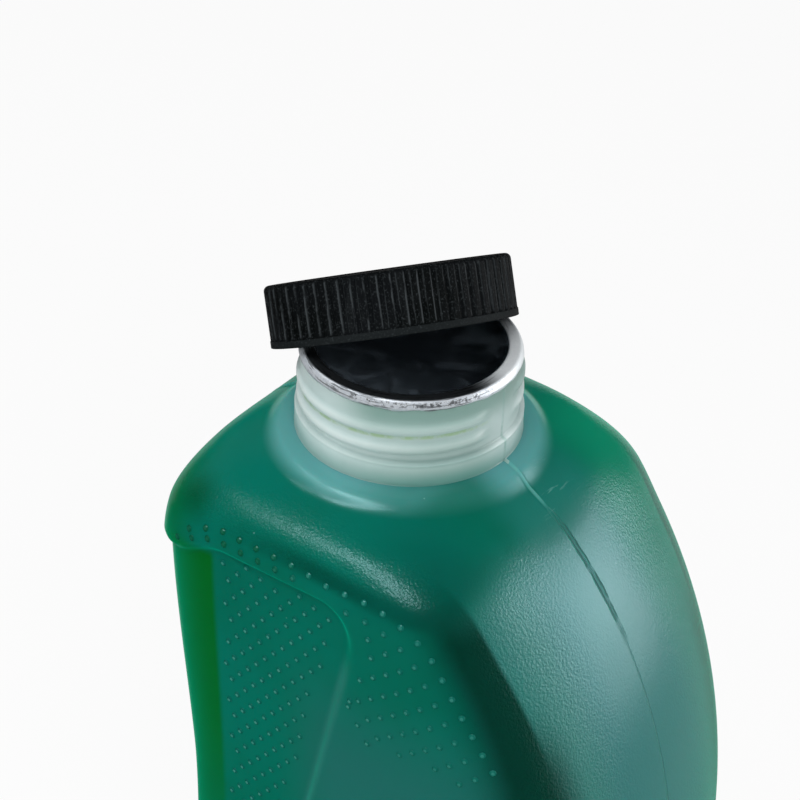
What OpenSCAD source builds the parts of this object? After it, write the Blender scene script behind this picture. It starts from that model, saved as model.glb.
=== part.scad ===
// Translucent blown plastic oil bottle with a sealed screw neck and a loose ribbed cap.
// Millimetres, +Z up. The origin is on the table, under the middle of the body.
// +X points to the rounded end, -X to the grip end, -Y to the front.

/* [Body] */
// Height of the body, from the table to the foot of the neck
body_h = 220; // [190:1:260]
// Depth of the body, front to back
body_d = 66; // [58:1:76]
// Reach from the neck axis to the grip end
grip_end = 30.5; // [27:0.5:36]
// Reach from the neck axis to the rounded end
round_end = 56.5; // [44:0.5:66]
// Thickness of the blown wall
wall = 1.2; // [0.8:0.1:1.6]
// Height of the shoulder at the front, the back and the grip end
shoulder_h = 12; // [9:0.5:16]
// Height of the long slope down to the rounded end
slope_h = 86; // [60:1:110]
// Height over which the round shoulder turns square
square_h = 18.5; // [14:0.5:24]
// How far the rounded end bows out across the depth
end_bow = 7.4; // [2:0.2:10]
// How far the grip end bows out across the depth
grip_bow = 0.5; // [0:0.1:2]
// Squareness of the corners at the rounded end
round_square = 8.5; // [5:0.5:12]
// Squareness of the corners at the grip end
grip_square = 6.3; // [4:0.1:10]

/* [Base] */
// Radius of the heel around the base
heel_r = 8; // [4:0.5:12]
// Width of the flat ring that the bottle stands on
land_w = 6; // [3:0.5:9]
// Height of the pushed-up middle of the base
push_up = 3; // [1:0.5:6]

/* [Grip] */
// Distance of the grip's ledge below the foot of the neck
grip_top = 12; // [10:0.2:18]
// Length of the grip, top to bottom
grip_len = 140; // [100:2:150]
// Depth of the ledge around the grip
grip_depth = 1.2; // [0.4:0.1:1.6]
// Extra depth halfway down, at the grip end
grip_waist = 3.1; // [0:0.1:3.5]
// Reach of the grip past the neck axis, at its top
grip_reach = 15.5; // [4:0.5:20]
// Lean of the grip's long edge
grip_lean = 12.5; // [0:0.5:14]
// Corner radius of the grip
grip_corner = 9; // [5:0.5:14]
// Dip of the ledge towards the grip end
grip_dip = 4.5; // [0:0.1:5]
// Distance from the neck axis at which the dip starts
dip_start = 12; // [6:0.5:14]
// Distance over which the ledge dips
dip_run = 13; // [8:0.5:18]
// Width of the ledge
ledge_w = 1.6; // [1:0.1:3]

/* [Neck] */
// Height of the neck above its foot
neck_h = 14.8; // [13:0.2:18]
// Radius of the lip, and of the neck between its threads
lip_r = 17.4; // [16.8:0.1:17.8]
// Radius of the plain band at the foot of the neck
foot_r = 18.2; // [17.9:0.1:18.6]
// Height of the plain band
foot_h = 3.8; // [2:0.1:4.2]
// Radius of the bore
bore_r = 15.2; // [13:0.1:15.8]
// Depth of the neck's inner edge below its foot
neck_root = 1; // [0.6:0.1:2]
// Height of the thread ridges above the neck
thread_h = 1.05; // [0.6:0.05:1.2]
// Pitch of the thread
thread_pitch = 3.4; // [3.2:0.05:4]
// Height of the lowest ridge above the neck's foot, at the front
thread_z = 6.1; // [5.8:0.1:6.6]
// Width of a ridge at its root
thread_w = 2.2; // [1.4:0.1:2.6]
// Angle that a ridge spans on each mould half
thread_span = 150; // [100:5:165]

/* [Liquid] */
// Distance of the liquid's surface below the foot of the neck
fill_drop = 3; // [2:0.2:40]
// Gap between the liquid and the wall
fill_gap = 0.3; // [0.2:0.05:0.4]

/* [Foil] */
// Thickness of the foil
foil_t = 0.15; // [0.1:0.01:0.3]
// Length of the edge that is turned down around the lip
foil_skirt = 1.4; // [0.8:0.1:2]
// Dish of the foil over the bore
foil_dish = 0.4; // [0:0.1:0.8]
// Gap between the turned edge and the lip
foil_gap = 0.05; // [0.02:0.01:0.1]

/* [Cap] */
// Height of the cap
cap_h = 9.9; // [9.6:0.1:12]
// Thickness of the cap's top
cap_top = 1; // [0.8:0.1:1.4]
// Thickness of the skirt at the plain band
skirt_t = 1.05; // [1:0.05:1.6]
// Radial clearance between the skirt and the neck's ridges
cap_clear = 0.3; // [0.25:0.05:0.5]
// Height of the plain band at the cap's mouth
band_h = 1.2; // [0.6:0.1:2]
// Number of grip ribs
rib_n = 60; // [36:2:80]
// Depth of the grooves between the ribs
rib_depth = 0.4; // [0.2:0.05:0.45]
// Step from the plain band in to the ribs
band_step = 0.1; // [0.05:0.05:0.2]
// Rounding of the top edge
cap_round = 0.9; // [0.4:0.1:1.2]
// Widening of the mouth
mouth_chamfer = 0.4; // [0.2:0.05:0.6]
// Clearance between the cap's ridges and the neck
cap_thread_clear = 0.5; // [0.4:0.05:0.8]
// Height of the cap's lowest ridge above its mouth
cap_thread_z = 2.6; // [2.4:0.1:3.2]
// Thickness of the liner
liner_t = 0.8; // [0.5:0.1:1]
// Radial clearance around the liner
liner_clear = 0.4; // [0.2:0.1:0.8]

/* [Cap rest] */
// Tilt of the cap as it lies on the mouth
cap_tilt = 31.3; // [30:0.1:32]
// Direction of the tilt, from +X
cap_lean = 143.8; // [142:0.1:146]
// Shift of the mouth's middle along X from the neck axis
cap_dx = -5.7; // [-6:0.1:-5]
// Shift of the mouth's middle along Y from the neck axis
cap_dy = 3.6; // [3:0.1:4]
// Depth of the mouth's middle below the foil
cap_drop = 2.5; // [1.8:0.1:2.6]

/* [Hidden] */
$fn = 96;

neck_x = (grip_end - round_end) / 2;
rim_z = body_h + neck_h;
half_d = body_d / 2;
push_run = 2 * push_up;
crest_r = lip_r + thread_h;

// Rise of the shoulder curves: the first power rounds the wall, the second rounds the neck
front_curve = [1.93, 1.38];
round_curve = [2.5, 1.33];

// Mesh of the blown shapes
columns = 72;
shoulder_rings = 9;
ring_bias = 1.4;
ledge_rings = 3;
dip_rings = 3;
grip_rings = 13;
lower_rings = 3;
heel_rings = 4;
tiny = 1e-6;

cap_in_r = crest_r + cap_clear;
cap_r = cap_in_r + skirt_t;
cap_thread_h = cap_in_r - lip_r - cap_thread_clear;
liner_r = cap_in_r - liner_clear;
overlap = 0.2;

function clamp(t) = min(max(t, 0), 1);
function ease(t) = let (u = clamp(t)) u * u * (3 - 2 * u);
function arch(t, curve) = pow(1 - pow(1 - clamp(t), curve[0]), 1 / curve[1]);

// Half depth and reach of the body at a drop below the neck's foot
function side_at(drop) = foot_r + (half_d - foot_r) * arch(drop / shoulder_h, front_curve);
function grip_at(drop) = foot_r + (grip_end - foot_r) * arch(drop / shoulder_h, front_curve);
function round_at(drop) = foot_r + (round_end - foot_r) * arch(drop / slope_h, round_curve);

// Distance from the neck axis to the wall: a soft minimum of the bowed end and the flat side
function body_r(a, drop) =
    let (w = ease(drop / square_h))
    let (right = cos(a) > 0)
    let (end = right ? round_at(drop) : grip_at(drop))
    let (bow = (right ? end_bow : grip_bow) * w * pow(sin(a) / half_d, 2))
    let (to_end = 2 * end / max(abs(cos(a)) + sqrt(pow(cos(a), 2) + 4 * bow * end), tiny))
    let (to_side = side_at(drop) / max(abs(sin(a)), tiny))
    let (p = 2 + ((right ? round_square : grip_square) - 2) * w)
    pow(pow(to_end, -p) + pow(to_side, -p), -1 / p);

// Depth of the grip recess at a distance x from the neck axis
function grip_cut(x, drop) =
    let (below = drop - grip_top)
    let (left = grip_reach - below * tan(grip_lean) - x)
    let (dip = grip_dip * ease((-x - dip_start) / dip_run))
    let (u = max(grip_corner - below + dip, 0))
    let (v = max(grip_corner - left, 0))
    let (w = max(grip_corner - grip_len + below, 0))
    let (inside = grip_corner - norm([u, v, w]))
    let (waist = grip_waist * pow(sin(180 * clamp(below / grip_len)), 2) * clamp(left / grip_end))
    ease(inside / ledge_w) * (grip_depth + waist);

// One ring of the blown body: drop below the neck's foot, inset of the wall, height
function ring(drop, inset, z) = [
    for (i = [0 : columns - 1])
        let (a = 360 * i / columns)
        let (r = body_r(a, drop))
        let (q = r - grip_cut(r * cos(a), drop) - inset)
        [neck_x + q * cos(a), q * sin(a), z]
];

// Drops of the rings, from the neck's foot to the top of the heel
grip_bottom = grip_top + grip_len;
ledge_drop = grip_top + 2 * ledge_w;
dip_drop = ledge_drop + grip_dip + ledge_w;
drops = concat(
    [for (i = [0 : shoulder_rings]) grip_top * pow(i / shoulder_rings, ring_bias)],
    [for (i = [1 : ledge_rings]) grip_top + 2 * ledge_w * i / ledge_rings],
    [for (i = [1 : dip_rings]) ledge_drop + (grip_dip + ledge_w) * i / dip_rings],
    [for (i = [1 : grip_rings]) dip_drop + (grip_bottom - 2 * ledge_w - dip_drop) * pow(i / grip_rings, ring_bias)],
    [for (i = [1 : ledge_rings]) grip_bottom - 2 * ledge_w + 2 * ledge_w * i / ledge_rings],
    [for (i = [1 : lower_rings]) grip_bottom + (body_h - heel_r - grip_bottom) * i / lower_rings]
);

// Thickness of the wall: it swells to the neck's bore at the top
function wall_at(drop, bore_inset) = wall + (bore_inset - wall) * (1 - ease(drop / shoulder_h));

// Rings of a skin, set in from the outside by a wall and raised by a floor at the base
function skin(from, bore_inset, gap, floor_t) = concat(
    [for (d = concat([from], [for (e = drops) if (e > from + tiny) e]))
        ring(d, (bore_inset > 0 ? wall_at(d, bore_inset) : 0) + gap, body_h - d)],
    [for (i = [1 : heel_rings])
        let (a = 90 * i / heel_rings)
        let (side = (bore_inset > 0 ? wall : 0) + gap)
        ring(body_h, side + heel_r * (1 - cos(a)), floor_t + (heel_r - floor_t) * (1 - sin(a)))],
    [for (step = [[land_w, 0], [land_w + push_run, push_up]])
        let (shrink = 1 - step[0] / (half_d - heel_r))
        [for (p = ring(body_h, heel_r, 0)) [shrink * p[0], shrink * p[1], floor_t + step[1]]]]
);

// Faces between the rings of a skin, from the first ring down
function skin_faces(n, start) = [
    for (j = [0 : n - 2], i = [0 : columns - 1])
        let (k = (i + 1) % columns)
        let (a = start + j * columns)
        let (b = a + columns)
        each [[a + i, b + k, b + i], [a + i, a + k, b + k]]
];
function cap_face(start) = [for (i = [0 : columns - 1]) start + i];
function turned(faces) = [for (f = faces) [for (i = [len(f) - 1 : -1 : 0]) f[i]]];
function flat(rings) = [for (r = rings) each r];

// The blown body: outer skin, inner skin and the ring that joins them under the neck
module blown_body() {
    outer = skin(0, 0, 0, 0);
    inner = skin(0, foot_r - bore_r - overlap, 0, wall);
    n = len(outer);
    start = n * columns;
    mouth = [
        for (i = [0 : columns - 1])
            let (k = (i + 1) % columns)
            each [[i, start + i, start + k], [i, start + k, k]]
    ];
    polyhedron(
        points = concat(flat(outer), flat(inner)),
        faces = concat(
            skin_faces(n, 0),
            [cap_face(start - columns)],
            turned(skin_faces(n, start)),
            turned([cap_face(2 * start - columns)]),
            mouth
        )
    );
}

// A ridge of a thread over one mould half, raised outward or inward from a round wall
module ridge(r, height, outward) {
    root = thread_w / 2 + (thread_w / 2 - thread_w / 5) * overlap / height;
    crest = thread_w / 5;
    side = outward ? 1 : -1;
    rotate([0, 0, -thread_span / 2])
        rotate_extrude(angle = thread_span)
            polygon([
                [r - side * overlap, -root],
                [r + side * height, -crest],
                [r + side * height, crest],
                [r - side * overlap, root]
            ]);
}

// Ridges on both mould halves, each tilted to the pitch of a right-hand thread
module ridges(r, height, z, count, outward) {
    lead = atan(thread_pitch / (2 * PI * r));
    for (half = [0, 1], i = [0 : count - 1])
        translate([0, 0, z + thread_pitch * (i + half / 2)])
            rotate([0, 0, -90 + 180 * half])
                rotate([lead, 0, 0])
                    ridge(r, height, outward);
}

module neck() {
    difference() {
        union() {
            translate([0, 0, -neck_root]) cylinder(r = lip_r, h = neck_root + neck_h);
            translate([0, 0, -overlap]) cylinder(r = foot_r - overlap, h = overlap + foot_h);
            ridges(lip_r, thread_h, thread_z, 2, true);
        }
        translate([0, 0, -neck_root - 1]) cylinder(r = bore_r, h = neck_h + neck_root + 2);
    }
}

module bottle_shell() {
    color([0.05, 0.45, 0.38, 0.8]) {
        blown_body();
        translate([neck_x, 0, body_h]) neck();
    }
}

module liquid_fill() {
    rings = skin(fill_drop, foot_r - bore_r, fill_gap, wall + fill_gap);
    n = len(rings);
    color([0, 0.4, 0.3])
        polyhedron(
            points = flat(rings),
            faces = concat(
                turned([cap_face(0)]),
                skin_faces(n, 0),
                [cap_face((n - 1) * columns)]
            )
        );
}

module seal_foil() {
    edge_r = lip_r + foil_gap;
    land_r = bore_r - overlap;
    color([0.85, 0.87, 0.88])
        translate([neck_x, 0, rim_z])
            rotate_extrude()
                polygon([
                    [0, -foil_dish],
                    [land_r, 0],
                    [edge_r, 0],
                    [edge_r, -foil_skirt],
                    [edge_r + foil_t, -foil_skirt],
                    [edge_r + foil_t, foil_t],
                    [land_r, foil_t],
                    [0, foil_t - foil_dish]
                ]);
}

// Lays a piece of the cap on the mouth, tilted as it rests there
module cap_place() {
    translate([neck_x + cap_dx, cap_dy, rim_z + foil_t - cap_drop])
        rotate([0, 0, cap_lean])
            rotate([0, cap_tilt, 0])
                children();
}

// Outline of the ribbed skirt
module ribbed_outline() {
    rib_r = cap_r - band_step;
    step = 360 / rib_n;
    polygon([
        for (i = [0 : rib_n - 1], p = [[0, 0], [0.5, 0], [0.62, rib_depth], [0.88, rib_depth]])
            (rib_r - p[1]) * [cos((i + p[0]) * step), sin((i + p[0]) * step)]
    ]);
}

module cap_outside() {
    cylinder(r = cap_r, h = band_h);
    intersection() {
        linear_extrude(cap_h) ribbed_outline();
        rotate_extrude() {
            square([cap_r, cap_h - cap_round]);
            square([cap_r - cap_round, cap_h]);
            translate([cap_r - cap_round, cap_h - cap_round]) circle(cap_round);
        }
    }
}

module cap_hollow() {
    translate([0, 0, -1]) cylinder(r = cap_in_r, h = cap_h - cap_top + 1);
    translate([0, 0, -1])
        cylinder(r1 = cap_in_r + mouth_chamfer + 0.5, r2 = cap_in_r, h = 2 * mouth_chamfer + 1);
}

module screw_cap() {
    color([0.06, 0.06, 0.065])
        cap_place() {
            difference() {
                cap_outside();
                cap_hollow();
            }
            ridges(cap_in_r, cap_thread_h, cap_thread_z, 1, false);
        }
}

module cap_liner() {
    color([0.1, 0.1, 0.11])
        cap_place()
            translate([0, 0, cap_h - cap_top - liner_t]) cylinder(r = liner_r, h = liner_t);
}

bottle_shell();
liquid_fill();
seal_foil();
screw_cap();
cap_liner();
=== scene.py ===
"""A blown plastic oil bottle full of green liquid, its foil-sealed neck and its loose ribbed cap."""

import math

import bmesh
import bpy
from mathutils import Matrix, Vector, noise


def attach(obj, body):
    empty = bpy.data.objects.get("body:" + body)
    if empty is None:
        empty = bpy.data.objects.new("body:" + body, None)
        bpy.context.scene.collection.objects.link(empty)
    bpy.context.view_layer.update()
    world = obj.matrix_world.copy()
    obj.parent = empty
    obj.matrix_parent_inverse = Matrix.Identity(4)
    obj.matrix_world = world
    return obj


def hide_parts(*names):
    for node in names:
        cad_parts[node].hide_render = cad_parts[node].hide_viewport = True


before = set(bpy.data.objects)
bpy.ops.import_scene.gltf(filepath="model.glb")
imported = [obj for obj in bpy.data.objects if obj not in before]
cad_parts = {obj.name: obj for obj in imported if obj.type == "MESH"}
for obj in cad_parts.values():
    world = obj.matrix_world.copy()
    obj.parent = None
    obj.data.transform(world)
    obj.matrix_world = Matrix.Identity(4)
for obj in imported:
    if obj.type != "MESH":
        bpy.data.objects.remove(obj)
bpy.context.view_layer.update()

MM = 0.001

# Body: sizes in millimetres, the same as in the solids
BODY_H = 220.0
HALF_D = 33.0
GRIP_END = 30.5
ROUND_END = 56.5
NECK_X = (GRIP_END - ROUND_END) / 2
SHOULDER_H = 12.0
SLOPE_H = 86.0
SQUARE_H = 18.5
END_BOW = 7.4
GRIP_BOW = 0.5
ROUND_SQUARE = 8.5
GRIP_SQUARE = 6.3
FRONT_CURVE = (1.93, 1.38)
ROUND_CURVE = (2.5, 1.33)
HEEL_R = 8.0
LAND_W = 6.0
PUSH_UP = 3.0

# Grip recess
GRIP_TOP = 12.0
GRIP_LEN = 140.0
GRIP_DEPTH = 1.2
GRIP_WAIST = 3.1
GRIP_REACH = 15.5
GRIP_LEAN = math.radians(12.5)
GRIP_CORNER = 9.0
LEDGE_W = 1.6
GRIP_DIP = 4.5
DIP_START = 12.0
DIP_RUN = 13.0

# Neck
NECK_H = 14.8
LIP_R = 17.4
FOOT_R = 18.2
FOOT_H = 3.8
BORE_R = 15.2
THREAD_H = 1.05
THREAD_PITCH = 3.4
THREAD_Z = 6.1
THREAD_W = 2.2
THREAD_SPAN = math.radians(150)
RIM_Z = BODY_H + NECK_H
FOIL_T = 0.15

# Cap, and the place and turn of its mouth as it lies on the neck
CAP_H = 9.9
CAP_TOP = 1.0
CAP_IN_R = 18.75
CAP_R = 19.8
BAND_H = 1.2
RIB_N = 60
RIB_DEPTH = 0.4
BAND_STEP = 0.1
CAP_ROUND = 0.9
CAP_THREAD_Z = 2.6
CAP_THREAD_H = 0.85
CAP_TILT = math.radians(31.3)
CAP_LEAN = math.radians(143.8)
CAP_MOUTH = Vector((NECK_X - 5.7, 3.6, RIM_Z + FOIL_T - 2.5))

# Detail that only the visual model has: the skin just inside the solid, the step around the collar,
# the ridge where the mould's halves meet, the dots, and the room over the liner
SKIN_INSET = 0.3
INSET_RUN = 8.0
COLLAR_R = 20.6
COLLAR_RUN = 2.7
COLLAR_STEP = 0.9
COLLAR_FADE = 8.0
JOINT_ANGLE = 0.9
JOINT_RISE = 0.45
JOINT_R = 23.5
JOINT_DROP = 5.0
JOINT_FADE = 5.0
NECK_JOINT_RISE = 0.12
DOT_R = 0.64
DOT_FOOT_H = 0.1
DOT_BELL_H = 0.14
DOT_CROWN_H = 0.03
LINER_CLEAR = 0.05

# How finely the round pieces are divided
BODY_COLUMNS = 400
FOIL_COLUMNS = 192
COLUMNS_PER_RIB = 10

# Camera, with its lens in millimetres and its place in metres, and the strength of the even light
LENS = 95.36
EYE = (0.1437, -0.2298, 0.4113)
LOOK = (-0.4706, 0.6822, -0.5595)
ROLL = math.radians(1.95)
WORLD_LIGHT = 0.7


def clamp(t):
    return min(max(t, 0.0), 1.0)


def ease(t):
    u = clamp(t)
    return u * u * (3 - 2 * u)


def arch(t, curve):
    return (1 - (1 - clamp(t)) ** curve[0]) ** (1 / curve[1])


# The blown body, as a distance from the neck axis at an angle and a drop below the neck's foot

def body_radius(angle, drop):
    square = ease(drop / SQUARE_H)
    along, across = math.cos(angle), math.sin(angle)
    shoulder = arch(drop / SHOULDER_H, FRONT_CURVE)
    side = FOOT_R + (HALF_D - FOOT_R) * shoulder
    if along > 0:
        end = FOOT_R + (ROUND_END - FOOT_R) * arch(drop / SLOPE_H, ROUND_CURVE)
        bow, power = END_BOW, ROUND_SQUARE
    else:
        end = FOOT_R + (GRIP_END - FOOT_R) * shoulder
        bow, power = GRIP_BOW, GRIP_SQUARE
    bow = bow * square * (across / HALF_D) ** 2
    to_end = 2 * end / max(abs(along) + math.sqrt(along ** 2 + 4 * bow * end), 1e-6)
    to_side = side / max(abs(across), 1e-6)
    power = 2 + (power - 2) * square
    return (to_end ** -power + to_side ** -power) ** (-1 / power)


def grip_dip(x):
    """How much lower the top of the recess lies near the grip end."""
    return GRIP_DIP * ease((-x - DIP_START) / DIP_RUN)


def grip_inside(x, drop):
    """How far a place on the side lies inside the grip recess."""
    below = drop - GRIP_TOP
    left = GRIP_REACH - below * math.tan(GRIP_LEAN) - x
    u = max(GRIP_CORNER - below + grip_dip(x), 0)
    v = max(GRIP_CORNER - left, 0)
    w = max(GRIP_CORNER - GRIP_LEN + below, 0)
    return GRIP_CORNER - math.sqrt(u * u + v * v + w * w)


def grip_cut(x, drop):
    below = drop - GRIP_TOP
    left = GRIP_REACH - below * math.tan(GRIP_LEAN) - x
    waist = GRIP_WAIST * math.sin(math.pi * clamp(below / GRIP_LEN)) ** 2 * clamp(left / GRIP_END)
    return ease(grip_inside(x, drop) / LEDGE_W) * (GRIP_DEPTH + waist)


def mould_joint(angle):
    """1 on the plane where the two halves of the mould meet, and 0 a degree away from it."""
    away = math.degrees(abs(math.atan2(math.sin(angle), abs(math.cos(angle)))))
    return max(0.0, 1 - away / JOINT_ANGLE)


def skin_point(angle, drop, inset=0.0):
    """A point on the outside of the body, with the step around the collar and the mould's joint on it."""
    radius = body_radius(angle, drop)
    radius -= grip_cut(radius * math.cos(angle), drop) + inset + SKIN_INSET * ease(drop / INSET_RUN)
    past = radius - COLLAR_R
    step = COLLAR_STEP * ease(past / COLLAR_RUN) * (1 - ease((past - COLLAR_RUN) / COLLAR_FADE))
    joint = JOINT_RISE * mould_joint(angle) * (1 - ease((radius - JOINT_R) / JOINT_FADE))
    joint *= 1 - ease((drop - JOINT_DROP) / JOINT_FADE)
    height = BODY_H - drop - step + joint
    return Vector((NECK_X + radius * math.cos(angle), radius * math.sin(angle), height))


def side_point(x, drop):
    """The point and normal on the front face at a distance x from the neck axis."""
    halvings = 26
    low, high = math.radians(-179.5), math.radians(-0.5)
    for _ in range(halvings):
        middle = (low + high) / 2
        if skin_point(middle, drop).x - NECK_X < x:
            low = middle
        else:
            high = middle
    angle = (low + high) / 2
    small_turn, small_drop = 0.004, 0.15
    round_it = skin_point(angle + small_turn, drop) - skin_point(angle - small_turn, drop)
    down_it = skin_point(angle, drop + small_drop) - skin_point(angle, drop - small_drop)
    return skin_point(angle, drop), down_it.cross(round_it).normalized()


# Mesh making

def lofted(columns, rings):
    """A tube through a list of rings, each a function of the angle: one circle, extruded ring by ring."""
    shape = bmesh.new()
    bmesh.ops.create_circle(shape, cap_ends=False, segments=columns, radius=1)
    shape.verts.ensure_lookup_table()
    column = {}
    for vert in shape.verts:
        column[vert] = math.atan2(vert.co.y, vert.co.x)
    edges = list(shape.edges)
    for vert, angle in column.items():
        vert.co = rings[0](angle)
    for ring in rings[1:]:
        made = bmesh.ops.extrude_edge_only(shape, edges=edges)["geom"]
        fresh = [g for g in made if isinstance(g, bmesh.types.BMVert)]
        fresh_set = set(fresh)
        edges = [g for g in made if isinstance(g, bmesh.types.BMEdge)
                 and g.verts[0] in fresh_set and g.verts[1] in fresh_set]
        moved = {}
        for vert in fresh:
            for edge in vert.link_edges:
                source = edge.other_vert(vert)
                if source in column:
                    moved[vert] = column[source]
        for vert, angle in moved.items():
            vert.co = ring(angle)
        column = moved
    return shape, edges


def first_edges(shape, count):
    shape.edges.ensure_lookup_table()
    return shape.edges[:count]


def closed_loft(columns, rings):
    """A lofted tube with both its ends filled."""
    shape, last = lofted(columns, rings)
    bmesh.ops.edgeloop_fill(shape, edges=last)
    bmesh.ops.edgeloop_fill(shape, edges=first_edges(shape, columns))
    bmesh.ops.recalc_face_normals(shape, faces=shape.faces)
    return shape


def finished_piece(name, shape, materials, body, replaces=None):
    """Makes the object of a shape in millimetres, and tells the frame what it is."""
    bmesh.ops.scale(shape, vec=(MM, MM, MM), verts=shape.verts)
    mesh = bpy.data.meshes.new(name)
    shape.to_mesh(mesh)
    shape.free()
    for material in materials:
        mesh.materials.append(material)
    for face in mesh.polygons:
        face.use_smooth = True
    piece = bpy.data.objects.new(name, mesh)
    bpy.context.scene.collection.objects.link(piece)
    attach(piece, body)
    if replaces:
        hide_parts(replaces)
    return piece


# Shader maths

class Value:
    """A socket that sums as a number does: each sum adds the node that works it out."""

    def __init__(self, finish, socket):
        self.finish = finish
        self.socket = socket

    def sum(self, operation, first, second=0.0):
        return self.finish.add("ShaderNodeMath", {"operation": operation}, {0: first, 1: second})

    def __add__(self, other):
        return self.sum("ADD", self, other)

    def __radd__(self, other):
        return self.sum("ADD", other, self)

    def __sub__(self, other):
        return self.sum("SUBTRACT", self, other)

    def __rsub__(self, other):
        return self.sum("SUBTRACT", other, self)

    def __mul__(self, other):
        return self.sum("MULTIPLY", self, other)

    def __rmul__(self, other):
        return self.sum("MULTIPLY", other, self)

    def __truediv__(self, other):
        return self.sum("DIVIDE", self, other)

    def __pow__(self, other):
        return self.sum("POWER", self, other)

    def __abs__(self):
        return self.sum("ABSOLUTE", self)

    def least(self, other):
        return self.sum("MINIMUM", self, other)

    def most(self, other):
        return self.sum("MAXIMUM", self, other)

    def root(self):
        return self.sum("SQRT", self)

    def angle(self, other):
        return self.sum("ARCTAN2", self, other)

    def remainder(self):
        return self.sum("FLOORED_MODULO", self, 1.0)

    def step(self, low, high):
        """0 below low, 1 above high, and a smooth rise between them."""
        return self.finish.add(
            "ShaderNodeMapRange", {"interpolation_type": "SMOOTHSTEP"},
            {"Value": self, "From Min": low, "From Max": high, "To Min": 0.0, "To Max": 1.0})


class Finish:
    """A material, or the world, made of nodes."""

    def __init__(self, holder):
        self.holder = holder
        holder.use_nodes = True
        self.tree = holder.node_tree
        self.tree.nodes.clear()

    def node(self, kind, settings=None, inputs=None):
        """Adds a node, sets it, and gives it its values or links."""
        node = self.tree.nodes.new(kind)
        for key, value in (settings or {}).items():
            setattr(node, key, value)
        for key, value in (inputs or {}).items():
            socket = node.inputs[key]
            if isinstance(value, Value):
                self.tree.links.new(value.socket, socket)
            else:
                socket.default_value = value
        return node

    def add(self, kind, settings=None, inputs=None, output=0):
        return Value(self, self.node(kind, settings, inputs).outputs[output])

    def stretch(self, vector, sizes):
        return self.add("ShaderNodeVectorMath", {"operation": "MULTIPLY"}, {0: vector, 1: sizes})

    def place(self):
        """Object coordinates in millimetres."""
        spot = self.add("ShaderNodeTexCoord", output="Object")
        return self.stretch(spot, (1 / MM, 1 / MM, 1 / MM))

    def parts(self, vector):
        node = self.node("ShaderNodeSeparateXYZ", {}, {0: vector})
        return [Value(self, out) for out in node.outputs]

    def rays(self):
        """Three values, each 1 for its own rays: from the camera, from gloss, through a clear piece."""
        path = self.node("ShaderNodeLightPath")
        kinds = ("Camera", "Glossy", "Transmission")
        return [Value(self, path.outputs["Is %s Ray" % kind]) for kind in kinds]

    def speckle(self, spot, scale, detail=2.0, roughness=0.5, distortion=0.0):
        return self.add("ShaderNodeTexNoise", {}, {
            "Vector": spot, "Scale": scale, "Detail": detail,
            "Roughness": roughness, "Distortion": distortion})

    def blend(self, mask, first, second):
        return self.add("ShaderNodeMix", {"data_type": "RGBA"}, {0: mask, 6: first, 7: second}, output=2)

    def bump(self, height, strength, distance, under=None):
        inputs = {"Height": height, "Strength": strength, "Distance": distance * MM}
        if under is not None:
            inputs["Normal"] = under
        return self.add("ShaderNodeBump", {}, inputs)

    def surface(self, shader, volume=None, kind="Material"):
        inputs = {"Surface": shader}
        if volume is not None:
            inputs["Volume"] = volume
        self.node("ShaderNodeOutput" + kind, {}, inputs)
        return self.holder

    def principled(self, inputs):
        return self.surface(self.add("ShaderNodeBsdfPrincipled", {}, inputs))


def new_finish(name):
    return Finish(bpy.data.materials.new(name))


# Finishes: the limits of their masks are millimetres from the neck's axis, its foot or the middle plane

def rgb(red, green, blue):
    return (red, green, blue, 1.0)


def neck_plastic():
    """Bare milky plastic, palest on the ridges and greener at the lip and the foot, with painted shade on
    the front of its lower part and along the step above the foot band, a narrow yellow-green trace of oil
    under the upper ridge and a line where the mould's halves meet."""
    f = new_finish("milky_neck_plastic")
    spot = f.place()
    x, y, z = f.parts(spot)
    along = x - NECK_X
    reach = (along * along + y * y).root()
    height = z - BODY_H
    cloud = f.speckle(spot, 0.15, 3.0, 0.55)
    pale = f.blend(cloud.step(0.3, 0.7), rgb(0.50, 0.62, 0.61), rgb(0.55, 0.67, 0.66))
    ridge = reach.step(17.5, 17.95) * height.step(3.9, 4.4)
    pale = f.blend(ridge * 0.8, pale, rgb(0.60, 0.70, 0.69))
    upper = height.step(7.2, 12.4) * along.step(-4.0, 6.0)
    pale = f.blend(upper * 0.9, pale, rgb(0.20, 0.34, 0.30))
    # Painted shade on the front of the lower neck, towards the round end
    shade = along.step(-2.0, 15.0) * (1 - y.step(-8.0, 2.0)) * (1 - height.step(7.0, 9.5))
    pale = f.blend(shade * 0.45, pale, rgb(0.17, 0.30, 0.26))
    # Painted shade along the step at the top of the foot band, deeper under the painted shade above
    ledge = 1 - abs(height - 3.9).step(0.2, 0.9)
    pale = f.blend(ledge * (0.25 + 0.4 * shade), pale, rgb(0.20, 0.32, 0.30))
    # The foot greener, and more so under the painted shade
    foot = 1 - height.step(0.0, 3.9)
    pale = f.blend(foot * (0.55 + 0.35 * shade), pale, rgb(0.10, 0.29, 0.25))
    level = height - 0.54 * along / reach
    trace = f.speckle(spot, 0.5, 3.0, 0.7).step(0.38, 0.6)
    oil = (1 - abs(level - 8.1).step(0.1, 0.5)) * (1 - y.step(-8.0, -2.0))
    pale = f.blend(oil * (0.15 + 0.5 * trace), pale, rgb(0.30, 0.47, 0.20))
    joint = (1 - abs(y).step(0.15, 0.45)) * along.step(0.0, 5.0) * (1 - 0.5 * height.step(3.0, 10.0))
    pale = f.blend(joint * (0.3 + 0.4 * trace), pale, rgb(0.22, 0.40, 0.36))
    fine = f.speckle(spot, 1.6, 2.0, 0.6)
    return f.principled({
        "Base Color": pale, "Roughness": 0.29 + 0.08 * fine, "Normal": f.bump(fine, 0.25, 0.05),
        "IOR": 1.5, "Specular IOR Level": 0.5, "Subsurface Weight": 0.8,
        "Subsurface Radius": (1.0, 1.0, 1.0), "Subsurface Scale": 0.004})


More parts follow.
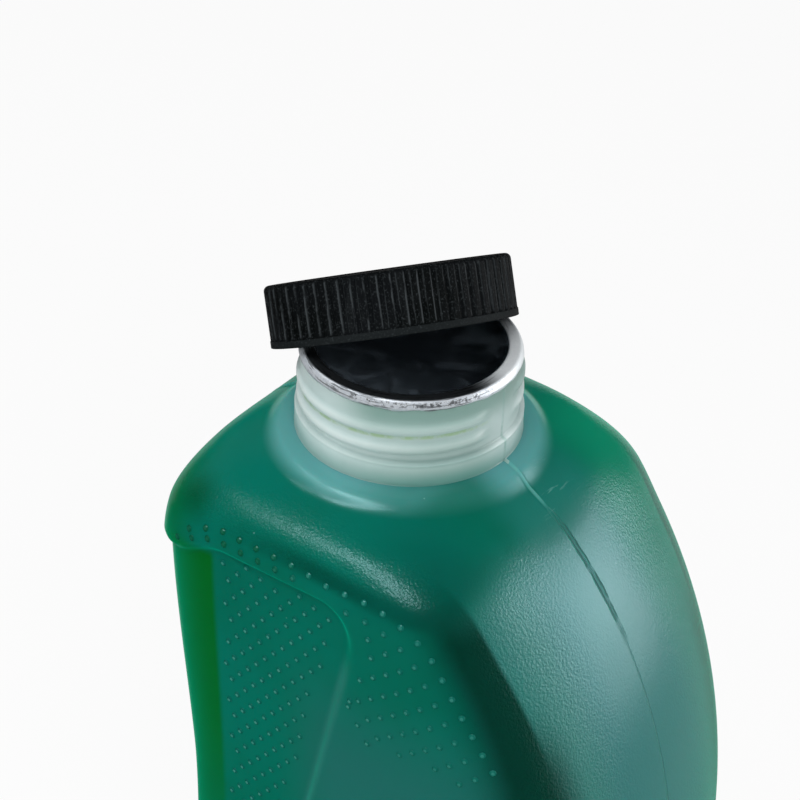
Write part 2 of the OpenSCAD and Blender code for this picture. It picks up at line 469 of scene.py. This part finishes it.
def filled_plastic():
    """The wall with green liquid behind it: teal, milky at the collar, with painted light coming through
    the liquid, pure green at the grip end and bright green at the back of the shoulder, painted highlights
    and reflections, and painted shade, darkest under the shoulder's edge and along the corner beside the
    round end."""
    f = new_finish("green_filled_plastic")
    spot = f.place()
    x, y, z = f.parts(spot)
    along = x - NECK_X
    side = abs(y)
    reach = (along * along + y * y).root()
    drop = BODY_H - z

    # Random tone, then painted light, highlights and reflections, and other lighter and darker places
    cloud = f.speckle(spot, 0.03, 3.0, 0.55)
    colour = f.blend(cloud.step(0.35, 0.65), rgb(0.000, 0.114, 0.074), rgb(0.000, 0.132, 0.095))
    # Painted reflection: the lower front panel greyer
    low_panel = drop.step(22.0, 45.0) * along.step(-4.0, 12.0)
    colour = f.blend(low_panel, colour, rgb(0.012, 0.122, 0.108))
    # The round end paler and bluer, partly painted highlight around the lamps it reflects
    end = along.step(24.0, 36.0) * (1 - side.step(26.5, 30.0))
    colour = f.blend(end, colour, rgb(0.014, 0.142, 0.138))
    # Painted light coming through the liquid: the back of the shoulder bright green
    lit_back = along.step(4.0, 18.0) * y.step(5.0, 22.0) * (1 - drop.step(12.0, 42.0))
    colour = f.blend(lit_back * 0.85, colour, rgb(0.002, 0.225, 0.118))
    beside = along.step(16.0, 26.0) * (1 - abs(y - 2.0).step(6.0, 14.0)) * (1 - drop.step(5.0, 9.0))
    colour = f.blend(beside * 0.8, colour, rgb(0.010, 0.160, 0.132))
    # Painted highlight on the round end towards its front and back corners
    near = end * side.step(9.0, 18.0)
    colour = f.blend(near * 0.6, colour, rgb(0.028, 0.164, 0.130))
    # Painted light on the shoulder's top, left of the neck
    left_top = (1 - along.step(-12.0, 0.0)) * (1 - drop.step(4.0, 7.0))
    colour = f.blend(left_top * 0.7, colour, rgb(0.000, 0.152, 0.112))
    # Painted light through the liquid: deep pure green on the nose at the grip end
    nose = (1 - along.step(-27.0, -15.0)) * drop.step(4.0, 10.0)
    colour = f.blend(nose, colour, rgb(0.000, 0.098, 0.018))
    tip = (1 - abs(along + 20.5).step(0.0, 6.5)) * (1 - abs(drop - 7.8).step(0.0, 3.4))
    colour = f.blend(tip * side.step(22.0, 28.0) * 0.7, colour, rgb(0.000, 0.060, 0.018))

    # The grip end, with painted light through the liquid in pure green and a sharp edge that blurs lower
    # down, and a painted highlight on the pale edge of the recess
    blurred = drop.step(46.0, 110.0)
    grip = 1 - along.step(-15.4, -13.9) * (1 - blurred) - along.step(-24.0, -4.0) * blurred
    grip = grip * drop.step(13.0, 16.0)
    behind = y.step(-4.0, 6.0).most(blurred)
    deep = f.blend(behind, rgb(0.000, 0.104, 0.001), rgb(0.000, 0.124, 0.060))
    green = f.blend(along.step(-26.0, -16.0), rgb(0.000, 0.138, 0.036), deep)
    colour = f.blend(grip, colour, green)
    to_edge = GRIP_REACH + GRIP_TOP * math.tan(GRIP_LEAN) - math.tan(GRIP_LEAN) * drop - along
    # Painted highlight along the edge of the recess
    ledge = (1 - abs(to_edge - 1.0).step(0.3, 1.7)) * drop.step(20.0, 27.0) * side.step(20.0, 24.0)
    ledge = ledge * (1 - drop.step(90.0, 140.0))
    colour = f.blend(ledge * 0.6, colour, rgb(0.030, 0.150, 0.140))

    # Shade under the shoulder's edge, at its bend and along the corner
    ridge = 8.2 + 0.0025 * (along + 5.0).most(0.0) ** 2.0
    under = (1 - abs(drop - ridge).step(0.3, 2.0)) * side.step(24.0, 27.0)
    under = under * along.step(-16.0, 8.0) * (1 - along.step(22.0, 27.0))
    colour = f.blend(under * 0.8, colour, rgb(0.000, 0.050, 0.033))
    bend = along.step(6.0, 24.0) * (1 - along.step(26.0, 30.0)) * (1 - y.step(-24.0, -12.0))
    bend = bend * (1 - drop.step(9.0, 14.0))
    colour = f.blend(bend * 0.75, colour, rgb(0.000, 0.076, 0.056))
    lean = side + 0.06 * drop.least(45.0)
    soft = drop.step(22.0, 36.0)
    corner = lean.step(24.2, 25.3) * (1 - soft) + lean.step(18.5, 26.0) * soft
    corner = corner * (1 - side.step(27.8, 32.4))
    corner = corner * along.step(15.0, 28.0) * drop.step(4.0, 14.0) * (1 - 0.8 * drop.step(52.0, 120.0))
    colour = f.blend(corner * 0.95, colour, rgb(0.000, 0.026, 0.015))

    # The collar, where the milky wall is thick, with painted shade across its front and a painted highlight
    # on its outer rounding
    collar = 1 - reach.step(20.6, 23.6)
    front = 1 - y.step(-9.0, -2.0)
    # Painted shade: the collar less milky across its front
    collar_front_shade = front * (0.55 * along.step(0.0, 12.0) + 0.25 * along.step(12.0, 17.0))
    colour = f.blend(collar * (0.98 - collar_front_shade), colour, rgb(0.096, 0.310, 0.312))
    # Painted highlight on the collar's outer rounding, at the front
    collar_highlight = (1 - abs(reach - 21.3).step(0.1, 0.9)) * (1 - abs(along).step(5.0, 11.0))
    collar_highlight = collar_highlight * (1 - y.step(-16.0, -12.0))
    colour = f.blend(collar_highlight * 0.12, colour, rgb(0.200, 0.440, 0.420))

    # The mould's joint, rubbed and scratched, with fine scratches beside it and a little dust
    wander = f.speckle(spot, 0.09, 1.0) * 2.0 - 1.0
    ragged = f.speckle(spot, 0.7, 2.0) - 0.5
    first = abs(y - 0.32 - 0.5 * wander - 0.7 * ragged)
    second = abs(y + 0.22 + 0.4 * wander - 0.5 * ragged)
    broken = 0.35 + 0.65 * f.speckle(spot, 0.35, 2.0).step(0.36, 0.5)
    scuff = (1 - first.least(second).step(0.10, 0.26)) * broken
    scuff = scuff * along.step(26.0, 31.0) * (1 - along.step(40.0, 44.0))
    line = (1 - side.step(0.06, 0.22)) * along.step(28.0, 32.0) * 0.45
    scuff = scuff.most(line)
    colour = f.blend(scuff * 0.8, colour, rgb(0.000, 0.050, 0.040))
    bead = (1 - side.step(0.2, 0.45)) * (1 - reach.step(24.0, 28.0)) * (1 - drop.step(4.0, 7.0))
    colour = f.blend(bead * 0.6, colour, rgb(0.120, 0.380, 0.350))
    hair = f.speckle(f.stretch(spot, (1.3, 0.12, 0.3)), 1.0, 3.0, 0.7).step(0.60, 0.68)
    hair = hair * (1 - abs(along - 26.0).step(2.5, 6.0)) * (1 - abs(y - 3.0).step(2.5, 6.0))
    colour = f.blend(hair * 0.4, colour, rgb(0.150, 0.360, 0.340))
    dust = f.add("ShaderNodeTexVoronoi", {"feature": "F1"}, {"Vector": spot, "Scale": 0.14})
    dust = (1 - dust.step(0.020, 0.034)) * z.step(195.0, 205.0)
    colour = f.blend(dust * 0.5, colour, rgb(0.20, 0.42, 0.38))

    # Leather grain, strongest beside the round end and on the rolled edge
    leather = f.speckle(spot, 2.3, 2.0, 0.55)
    rough_end = along.step(24.0, 32.0) * side.step(4.0, 14.0)
    rolled = side.step(22.0, 26.0) * (1 - drop.step(8.0, 10.0)) * (1 - end)
    depth = 0.22 + 0.3 * end + 1.05 * rough_end + 0.8 * rolled
    height = leather * depth * (1 - collar) - scuff * 1.5
    satin = along.step(14.0, 30.0) * (1 - lean.step(24.2, 25.3))
    return f.principled({
        "Base Color": colour, "Normal": f.bump(height, 1.0, 0.06),
        "Roughness": 0.21 + 0.055 * satin + 0.3 * scuff,
        "Subsurface Weight": 0.5, "Subsurface Radius": (0.1, 1.0, 0.6), "Subsurface Scale": 0.006,
        "IOR": 1.5, "Specular IOR Level": 0.5, "Specular Tint": rgb(0.60, 0.92, 1.0),
        "Sheen Weight": 0.35, "Sheen Roughness": 0.4, "Sheen Tint": rgb(0.0, 1.0, 0.6)})


def dot_plastic(name, darker, bright):
    """The plastic of the body on its raised dots, made once darker as painted shade for their sides and
    once paler as a painted highlight for their tops, and darker in the rows over the recess at the grip
    end.
    """
    f = new_finish(name)
    spot = f.place()
    x, _, z = f.parts(spot)
    along = x - NECK_X
    level = BODY_H - z - GRIP_DIP * (1 - along.step(-DIP_START - DIP_RUN, -DIP_START))
    cloud = f.speckle(spot, 0.4, 2.0)
    colour = f.blend(cloud, darker, bright)
    dark = (1 - along.step(-6.0, 8.0)) * (1 - level.step(12.0, 13.5))
    colour = f.blend((1 - level.step(13.0, 17.0)) * 0.5, colour, rgb(0.004, 0.130, 0.098))
    colour = f.blend(dark * 0.75, colour, rgb(0.000, 0.074, 0.026))
    colour = f.blend(along.step(14.0, 27.0) * 0.55, colour, rgb(0.003, 0.122, 0.092))
    return f.principled({
        "Base Color": colour, "Roughness": 0.18 + 0.06 * cloud, "IOR": 1.5, "Specular IOR Level": 0.5,
        "Specular Tint": rgb(0.60, 0.92, 1.0)})


def green_liquid():
    """A clear liquid that takes its green from its depth."""
    f = new_finish("green_liquid")
    spot = f.place()
    cloud = f.speckle(spot, 0.03, 2.0)
    colour = f.blend(cloud, rgb(0.90, 1.0, 0.96), rgb(0.95, 1.0, 0.98))
    body = f.add("ShaderNodeBsdfPrincipled", {}, {
        "Base Color": colour, "Roughness": 0.0, "IOR": 1.001, "Transmission Weight": 1.0,
        "Specular IOR Level": 0.0})
    depth = f.add("ShaderNodeVolumeAbsorption", {}, {"Color": rgb(0.0, 0.80, 0.45), "Density": 160.0})
    return f.surface(body, depth)


def bright_foil():
    """Bright over the mouth, satin and streaked on the lip, with painted reflections on the lip, pale and
    less metallic at two places and dark on the rest, and torn at the front where its edge is turned down."""
    f = new_finish("bright_foil")
    spot = f.place()
    x, y, z = f.parts(spot)
    along = x - NECK_X
    reach = (along * along + y * y).root()
    land = reach.step(15.0, 15.4)
    skirt = reach.step(16.8, 17.1)
    # Painted reflections on the lip: bright and less metallic at two places, dark on the rest up to the
    # skirt
    painted_bright_reflection = land * (along.step(5.0, 13.0) * y.step(-6.0, 2.0)).most(1 - along.step(-15.0, -10.0))
    darker = land * (1 - skirt) * (1 - painted_bright_reflection)
    folds = f.speckle(spot, 0.2, 2.0, 0.5, 0.8)
    scuffs = f.speckle(spot, 2.2, 3.0, 0.6)
    torn = f.speckle(spot, 1.3, 3.0, 0.7).step(0.50, 0.60) * z.step(RIM_Z - 1.2, RIM_Z - 0.6)
    torn = torn * reach.step(17.1, 17.35) * along.step(-6.0, 2.0) * (1 - y.step(-6.0, 0.0))
    colour = f.blend(scuffs.step(0.35, 0.7), rgb(0.73, 0.79, 0.86), rgb(0.86, 0.91, 0.96))
    colour = f.blend((1 - land) * 0.8, colour, rgb(0.58, 0.76, 0.93))
    colour = f.blend(darker * 0.85, colour, rgb(0.095, 0.115, 0.130))
    colour = f.blend(painted_bright_reflection * 0.7, colour, rgb(0.94, 0.99, 1.0))
    turns = {0: y.angle(along) * 4.0, 1: reach * 3.0, 2: z * 3.0}
    round_it = f.add("ShaderNodeCombineXYZ", {}, turns)
    streak = f.speckle(round_it, 1.0, 3.0, 0.6).step(0.52, 0.62) * land
    colour = f.blend(streak * (1 - painted_bright_reflection) * 0.75, colour, rgb(0.08, 0.09, 0.10))
    colour = f.blend(torn * 0.85, colour, rgb(0.05, 0.055, 0.06))
    # Painted sheen: the fold crests and the front of the dish a little less metallic, to show faint light
    crest = (0.6 * folds.step(0.46, 0.70) + 0.25 * (1 - y.step(-15.0, -4.0))) * (1 - land)
    normal = f.bump(folds, 0.3, 0.5)
    normal = f.bump(scuffs * land, 0.5, 0.08, normal)
    metallic = 1.0 - 0.05 * crest - 0.50 * painted_bright_reflection - 0.5 * skirt * (1 - 0.6 * painted_bright_reflection)
    return f.principled({
        "Base Color": colour, "Metallic": metallic, "Normal": normal,
        "Roughness": 0.14 + 0.12 * scuffs + 0.22 * land})


def black_cap_plastic():
    """Grainy black, with broken pale lines painted as highlights along the edges of the ribs."""
    f = new_finish("black_cap_plastic")
    spot = f.place()
    turn = cap_spot().to_euler()
    own = f.add("ShaderNodeMapping", {"vector_type": "TEXTURE"}, {
        "Vector": spot, "Location": tuple(CAP_MOUTH), "Rotation": tuple(turn)})
    x, y, z = f.parts(own)
    streak = f.speckle(f.stretch(own, (0.55, 0.55, 0.12)), 1.0, 4.0, 0.75)
    rib = (y.angle(x) * (RIB_N / (2 * math.pi)) + 0.3 * (streak - 0.5)).remainder()
    # Painted highlights: broken pale lines along the edges of the ribs
    edge = (1 - abs(rib - 0.5).step(0.01, 0.10)).most(0.5 * (1 - abs(rib - 0.97).step(0.01, 0.08)))
    wall = z.step(BAND_H, BAND_H + 0.5) * (1 - z.step(CAP_H - 0.8, CAP_H - 0.2))
    edge = edge * streak.step(0.36, 0.58) * wall
    band = 1 - z.step(BAND_H - 0.15, BAND_H)
    grain = f.speckle(spot, 3.2, 2.0, 0.65)
    haze = f.speckle(spot, 0.12, 3.0, 0.5)
    colour = f.blend(haze.step(0.3, 0.7), rgb(0.002, 0.003, 0.003), rgb(0.004, 0.005, 0.006))
    colour = f.blend(band * 0.7, colour, rgb(0.012, 0.015, 0.016))
    colour = f.blend(streak.step(0.50, 0.72) * wall * 0.8, colour, rgb(0.010, 0.012, 0.013))
    colour = f.blend(grain.step(0.54, 0.70) * 0.7, colour, rgb(0.026, 0.031, 0.033))
    colour = f.blend(edge * 0.6, colour, rgb(0.060, 0.070, 0.075))
    return f.principled({
        "Base Color": colour, "Roughness": 0.5 + 0.2 * grain, "IOR": 1.45, "Specular IOR Level": 0.05,
        "Normal": f.bump(grain, 0.6, 0.12)})


def liner_foam():
    """Dark foam with small cells."""
    f = new_finish("dark_liner_foam")
    spot = f.place()
    cells = f.add("ShaderNodeTexVoronoi", {"feature": "F1"}, {"Vector": spot, "Scale": 1.4})
    colour = f.blend(cells, rgb(0.02, 0.02, 0.021), rgb(0.05, 0.05, 0.052))
    return f.principled({
        "Base Color": colour, "Roughness": 0.75 + 0.1 * cells, "Normal": f.bump(cells, 0.4, 0.15)})


def white_table():
    """A pale floor: white to the camera, and in reflections dark in front, dim behind the bottle and
    brighter far to its right. The camera sees its shadows faintly."""
    f = new_finish("white_table")
    spot = f.place()
    x, y, _ = f.parts(spot)
    camera, mirrored, through = f.rays()
    behind = y.step(0.0, 120.0) * (0.35 + 0.3 * (x + y).step(250.0, 500.0))
    cloud = f.speckle(spot, 0.02, 2.0)
    colour = f.blend(cloud, rgb(0.80, 0.80, 0.80), rgb(0.83, 0.83, 0.83))
    colour = f.blend(mirrored, colour, rgb(0, 0, 0))
    cloth = f.add("ShaderNodeBsdfPrincipled", {}, {
        "Base Color": colour, "Roughness": 0.9, "Specular IOR Level": 0.1})
    glow = f.add("ShaderNodeEmission", {}, {"Color": rgb(1, 1, 1), "Strength": 1.0})
    seen = camera.most(through).most(mirrored * behind)
    material = f.surface(f.add("ShaderNodeMixShader", {}, {0: seen * 0.85, 1: cloth, 2: glow}))
    material.cycles.emission_sampling = "NONE"
    return material


# Bottle

def ridge_share(angle, height, first, rows):
    """How far a thread stands out, from 0 to 1: rows of ridges on each half of the mould, half a pitch
    higher on the back, which fade out near the mould's joint."""
    run_out = 0.24
    crown = THREAD_W / 5 - 0.2
    flank = 0.3 * THREAD_W + 0.4
    raised = 0.0
    for half in (0, 1):
        centre = math.radians(-90 + 180 * half)
        turn = (angle - centre + math.pi) % (2 * math.pi) - math.pi
        fade = 1 - ease((abs(turn) - THREAD_SPAN / 2 + run_out / 2) / run_out)
        climb = THREAD_PITCH / (2 * math.pi) * math.sin(turn)
        for row in range(rows):
            crest = first + THREAD_PITCH * (row + half / 2) + climb
            raised = max(raised, fade * (1 - ease((abs(height - crest) - crown) / flank)))
    return raised


def neck_radius(angle, height):
    """The outside of the neck: a plain band at its foot, then the lip's width with soft ridges on it."""
    band_edge, joint_top, joint_fade, softness = 0.35, 12.0, 1.5, 0.5
    radius = FOOT_R + (LIP_R - FOOT_R) * ease((height - FOOT_H) / band_edge)
    joint = NECK_JOINT_RISE * mould_joint(angle) * (1 - ease((height - joint_top) / joint_fade))
    return radius + softness * THREAD_H * ridge_share(angle, height, THREAD_Z, 2) + joint


def neck_ring(height, radius=None):
    def ring(angle):
        r = radius if radius is not None else neck_radius(angle, height)
        return Vector((NECK_X + r * math.cos(angle), r * math.sin(angle), BODY_H + height))
    return ring


def skin_ring(drop):
    return lambda angle: skin_point(angle, drop)


def heel_ring(turn):
    inset = HEEL_R * (1 - math.cos(turn))
    height = HEEL_R * (1 - math.sin(turn))

    def ring(angle):
        place = skin_point(angle, BODY_H, inset)
        return Vector((place.x, place.y, height))
    return ring


def base_ring(inward, height):
    shrink = 1 - inward / (HALF_D - HEEL_R)

    def ring(angle):
        place = skin_point(angle, BODY_H, HEEL_R)
        return Vector((shrink * place.x, shrink * place.y, height))
    return ring


def bottle_body(neck_material, body_material):
    """The neck, the body and the base in one skin, from the rim of the bore down."""
    lip = ((0.5, BORE_R), (0.3, 15.35), (0.22, 15.7), (0.25, 16.1), (0.4, 16.6), (0.7, 17.0), (1.05, 17.25))
    rings = [neck_ring(NECK_H - below, radius) for below, radius in lip]
    neck_top, neck_rings = NECK_H - 1.4, 46
    rings += [neck_ring(neck_top * (1 - i / neck_rings)) for i in range(neck_rings)]
    rings += [neck_ring(0.12, FOOT_R), neck_ring(0.02, FOOT_R + 0.08)]
    # The drop at which each stretch of the side ends, its number of rings, and how they crowd at its top
    stretches = ((20.0, 60, 1.6), (82.0, 44, 1.0), (142.0, 12, 1.0), (154.0, 12, 1.0),
                 (BODY_H - HEEL_R, 5, 1.0))
    top = 0.0
    for bottom, count, crowding in stretches:
        rings += [skin_ring(top + (bottom - top) * (i / count) ** crowding) for i in range(1, count + 1)]
        top = bottom
    heel_rings, push_rings = 8, 6
    rings += [heel_ring(math.radians(90) * i / heel_rings) for i in range(1, heel_rings + 1)]
    rings += [base_ring(LAND_W, 0.0)]
    for i in range(1, push_rings + 1):
        share = i / push_rings
        rings.append(base_ring(LAND_W + 2 * PUSH_UP * share, PUSH_UP * ease(share)))
    shape = closed_loft(BODY_COLUMNS, rings)
    for face in shape.faces:
        face.material_index = 0 if face.calc_center_median().z > BODY_H else 1
    return finished_piece("bottle_body", shape, (neck_material, body_material), "bottle",
                          "bottle_shell")


def recess_dots():
    """A slanting lattice in the grip recess, as distances from the neck axis and drops below its foot."""
    start_x, start_drop = -5.8, 20.2
    rise_x, rise_drop = 1.82, -2.1
    fall_x, fall_drop = 1.03, 2.95
    left, lowest, edge_margin, ledge_margin = -13.0, 138.0, 5.4, 2.2
    most = 60
    places = []
    for i in range(-most, most + 1):
        for j in range(-most, most + 1):
            x = start_x + rise_x * i + fall_x * j
            drop = start_drop + rise_drop * i + fall_drop * j
            to_edge = GRIP_REACH - (drop - GRIP_TOP) * math.tan(GRIP_LEAN) - x
            in_grip = to_edge > edge_margin and grip_inside(x, drop) > ledge_margin
            if x > left and drop < lowest and in_grip:
                places.append((x, drop))
    return places


def shoulder_dots():
    """Rows that run under the shoulder's edge, and turn down along the corner beside the round end."""
    rows, row_gap, first_bend, least_bend = 8, 2.8, 17.0, 0.2
    bend_x, bend_drop, slope = 13.6, 26.7, math.radians(56.6)
    start, row_shift, pitch = -2.2, 0.75, 3.38
    left, lowest, grip_margin = -22.0, 36.2, 0.9
    places = []
    for row in range(rows):
        bend = first_bend - row_gap * row
        for i in range(-12, 14):
            way = start + row_shift * row + pitch * i
            turn = min(max(way, 0.0) / max(bend, least_bend), slope)
            on = max(way - max(bend, least_bend) * slope, 0.0)
            x = bend_x + min(way, 0.0) + bend * math.sin(turn) + on * math.cos(slope)
            drop = bend_drop - bend * math.cos(turn) + on * math.sin(slope)
            if row < 2:
                # The first two rows follow the top of the recess at its side of the bottle
                beside = ease((8.0 - x) / 6.0)
                drop += (GRIP_TOP + grip_dip(x) - 2.9 + 1.7 * row - drop) * beside
            right = 26.4 + 0.62 * (drop - 14.1)
            if left < x < right and drop < lowest and grip_inside(x, drop) < -grip_margin:
                places.append((x, drop))
    return places


def grip_dots(side_material, top_material):
    """Low bell-shaped dots on the front, and the same mirrored on the back, with painted shade on their
    sides and a painted highlight on their paler tops.
    """
    sides = 8
    shape = bmesh.new()
    tops = []
    for x, drop in recess_dots() + shoulder_dots():
        place, normal = side_point(x, drop)
        for flip in (1, -1):
            foot = Vector((place.x, flip * place.y, place.z))
            up = Vector((normal.x, flip * normal.y, normal.z))
            stand = Matrix.Translation(foot) @ up.to_track_quat("Z", "Y").to_matrix().to_4x4()
            made = bmesh.ops.create_cone(
                shape, cap_ends=True, cap_tris=False, segments=sides, radius1=DOT_R,
                radius2=0.75 * DOT_R, depth=DOT_FOOT_H, matrix=stand)
            faces = {face for vert in made["verts"] for face in vert.link_faces}
            ends = [face for face in faces if len(face.verts) == sides]
            tops.append(max(ends, key=lambda face: (face.calc_center_median() - foot).dot(up)))
    bmesh.ops.inset_individual(shape, faces=tops, thickness=0.30 * DOT_R, depth=DOT_BELL_H)
    # The tops take the paler material, a painted highlight
    for face in tops:
        face.material_index = 1
    bmesh.ops.inset_individual(shape, faces=tops, thickness=0.18 * DOT_R, depth=DOT_CROWN_H)
    return finished_piece("grip_dots", shape, (side_material, top_material), "bottle")


# Foil

def foil_seal(material):
    """The foil over the mouth, from the middle of its dish over the lip and down to its ragged edge."""
    def ring(radius, height, wrinkle=0.0, ragged=0.0):
        def place(angle):
            x, y = radius * math.cos(angle), radius * math.sin(angle)
            lift = wrinkle * noise.fractal(Vector((x * 0.22, y * 0.22, 3.1)), 1.0, 2.0, 3)
            fringe = ragged * noise.noise(Vector((x * 0.45, y * 0.45, 7.7)))
            return Vector((NECK_X + x, y, RIM_Z + height + lift + fringe))
        return place

    dish = 24
    rings = [ring(0.3 + 14.2 * i / dish, -0.2 + 0.1 * (i / dish) ** 2, 0.06) for i in range(dish + 1)]
    land = ((14.9, -0.06, 0.03), (15.15, 0.03), (15.4, 0.1), (15.7, 0.12), (16.2, 0.12), (16.6, 0.11))
    turned_down = ((16.85, 0.07), (17.05, -0.02), (17.22, -0.18), (17.35, -0.42), (17.45, -0.7),
                   (17.55, -1.0, 0.02, 0.06), (17.6, -1.3, 0.04, 0.3))
    rings += [ring(*sizes) for sizes in land + turned_down]
    shape, _ = lofted(FOIL_COLUMNS, rings)
    bmesh.ops.edgeloop_fill(shape, edges=first_edges(shape, FOIL_COLUMNS))
    bmesh.ops.recalc_face_normals(shape, faces=shape.faces)
    piece = finished_piece("foil_seal", shape, (material,), "bottle", "seal_foil")
    thick = piece.modifiers.new("thickness", "SOLIDIFY")
    thick.thickness = 0.1 * MM
    thick.offset = -1
    return piece


# Cap

def cap_spot():
    """The place and turn of the cap, as it lies on the mouth."""
    turn = Matrix.Rotation(CAP_LEAN, 4, "Z") @ Matrix.Rotation(CAP_TILT, 4, "Y")
    return Matrix.Translation(CAP_MOUTH) @ turn


def rib_radius(angle, share):
    """The ribbed outside: broad ribs with a rounded groove between them."""
    groove_start, groove_end, flank = 0.5, 0.86, 0.14
    turn = (angle / (2 * math.pi) * RIB_N) % 1.0
    groove = ease((turn - groove_start) / flank) * (1 - ease((turn - groove_end) / flank))
    return CAP_R - BAND_STEP - RIB_DEPTH * groove * share


def ribbed_cap(material):
    """The cap, from the middle of its inside over its rim and its ribs to the middle of its top."""
    def ring_of(radius_at, height):
        def ring(angle):
            radius = radius_at(angle)
            return Vector((radius * math.cos(angle), radius * math.sin(angle), height))
        return ring

    def plain(radius, height):
        return ring_of(lambda angle: radius, height)

    def ribbed(height, share, inward=0.0):
        return ring_of(lambda angle: rib_radius(angle, share) - inward, height)

    def threaded(height):
        def radius_at(angle):
            return CAP_IN_R - CAP_THREAD_H * ridge_share(angle, height, CAP_THREAD_Z, 1)
        return ring_of(radius_at, height)

    inside_top = CAP_H - CAP_TOP + LINER_CLEAR
    rings = [plain(2.0, inside_top), plain(CAP_IN_R - 0.3, inside_top), plain(CAP_IN_R, inside_top - 0.3)]
    thread_top, thread_run, thread_rings = inside_top - 0.5, 7.4, 26
    rings += [threaded(thread_top - thread_run * i / thread_rings) for i in range(thread_rings + 1)]
    rings += [plain(CAP_IN_R + 0.05, 0.8), plain(CAP_IN_R + 0.4, 0.06), plain(CAP_IN_R + 0.5, 0.0)]
    rings += [plain(CAP_R - 0.15, 0.0), plain(CAP_R - 0.03, 0.05), plain(CAP_R, 0.16)]
    rings += [plain(CAP_R, BAND_H - 0.12), plain(CAP_R - 0.03, BAND_H - 0.03), plain(CAP_R - 0.1, BAND_H)]
    rib_foot = BAND_H + 0.4
    rings += [ribbed(BAND_H + 0.02, 0.35), ribbed(BAND_H + 0.12, 0.9), ribbed(rib_foot, 1.0)]
    rib_run, steps = CAP_H - CAP_ROUND - rib_foot, 6
    rings += [ribbed(rib_foot + rib_run * i / steps, 1.0) for i in range(1, steps + 1)]
    for i in range(1, steps + 1):
        turn = math.radians(90) * i / steps
        share = min(2 * (steps - i) / steps, 1.0)
        height = CAP_H - CAP_ROUND * (1 - math.sin(turn))
        rings.append(ribbed(height, share, CAP_ROUND * (1 - math.cos(turn))))
    rings += [plain(CAP_R - 2.4, CAP_H), plain(CAP_R - 2.7, CAP_H - 0.12), plain(4.0, CAP_H - 0.12)]
    shape = closed_loft(RIB_N * COLUMNS_PER_RIB, rings)
    bmesh.ops.transform(shape, matrix=cap_spot(), verts=shape.verts)
    return finished_piece("ribbed_cap", shape, (material,), "cap", "screw_cap")


# Stage

def table(material):
    """A round floor, wide enough to fill every view."""
    shape = bmesh.new()
    bmesh.ops.create_circle(shape, cap_ends=True, segments=96, radius=4.0)
    mesh = bpy.data.meshes.new("table")
    shape.to_mesh(mesh)
    shape.free()
    mesh.materials.append(material)
    floor = bpy.data.objects.new("table", mesh)
    bpy.context.scene.collection.objects.link(floor)


def softbox(name, place, aim, width, height, power, shaded=True, mirrored=True):
    """A soft lamp, which can be left out of the shading or out of the gloss."""
    lamp = bpy.data.lights.new(name, "AREA")
    lamp.shape = "RECTANGLE"
    lamp.size = width
    lamp.size_y = height
    lamp.energy = power
    spot = bpy.data.objects.new(name, lamp)
    spot.location = place
    spot.rotation_euler = (Vector(aim) - Vector(place)).to_track_quat("-Z", "Y").to_euler()
    spot.visible_diffuse = shaded
    spot.visible_glossy = mirrored
    bpy.context.scene.collection.objects.link(spot)


def studio():
    """Even light from all sides, white to the camera and unseen in gloss, and the softboxes."""
    f = Finish(bpy.data.worlds.new("studio"))
    camera, _, through = f.rays()
    strength = WORLD_LIGHT + (1 - WORLD_LIGHT) * camera.most(through)
    light = f.add("ShaderNodeBackground", {}, {"Color": rgb(1, 1, 1), "Strength": strength})
    world = f.surface(light, kind="World")
    bpy.context.scene.world = world
    world.cycles_visibility.glossy = False
    aim = (0.0, 0.0, 0.2)
    right = (0.03, 0.0, 0.19)
    softbox("key", (0.75, -0.75, 0.95), aim, 0.4, 0.4, 5.1, mirrored=False)
    softbox("front_strip", (-0.13, -0.55, 1.15), aim, 0.8, 0.16, 3.7)
    softbox("left_strip", (-0.66, -0.36, 1.02), aim, 0.6, 0.16, 0.65)
    softbox("left_fill", (-1.08, 0.30, 0.70), aim, 0.7, 0.5, 0.08, shaded=False)
    softbox("right_wide", (0.838, 0.635, 0.39), right, 0.94, 0.9, 2.5, shaded=False)
    softbox("right_softbox", (0.792, 0.633, 0.346), right, 0.63, 0.57, 3.2, shaded=False)
    softbox("right_core", (0.743, 0.665, 0.415), right, 0.39, 0.32, 1.3, shaded=False)


def photo_camera():
    camera = bpy.data.cameras.new("camera")
    camera.lens = LENS
    camera.sensor_width = 36
    camera.sensor_fit = "HORIZONTAL"
    camera.clip_start = 0.01
    camera.clip_end = 20
    eye = bpy.data.objects.new("camera", camera)
    look = Vector(LOOK).to_track_quat("-Z", "Y").to_matrix() @ Matrix.Rotation(ROLL, 3, "Z")
    eye.matrix_world = Matrix.Translation(EYE) @ look.to_4x4()
    bpy.context.scene.collection.objects.link(eye)
    bpy.context.scene.camera = eye


def finish_node(node, material):
    """Gives a solid that no piece replaces a material of its own."""
    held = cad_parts[node].data
    held.materials.clear()
    held.materials.append(material)


bpy.context.scene.view_settings.view_transform = "Standard"
photo_camera()
studio()
table(white_table())
bottle_body(neck_plastic(), filled_plastic())
# Painted shade on the dots' sides and a painted highlight on their tops
shaded_dot_side = dot_plastic("shaded_dot_plastic", rgb(0.000, 0.098, 0.071), rgb(0.003, 0.116, 0.087))
highlit_dot_top = dot_plastic("highlit_dot_plastic", rgb(0.020, 0.180, 0.142), rgb(0.062, 0.268, 0.216))
grip_dots(shaded_dot_side, highlit_dot_top)
foil_seal(bright_foil())
ribbed_cap(black_cap_plastic())
finish_node("liquid_fill", green_liquid())
finish_node("cap_liner", liner_foam())
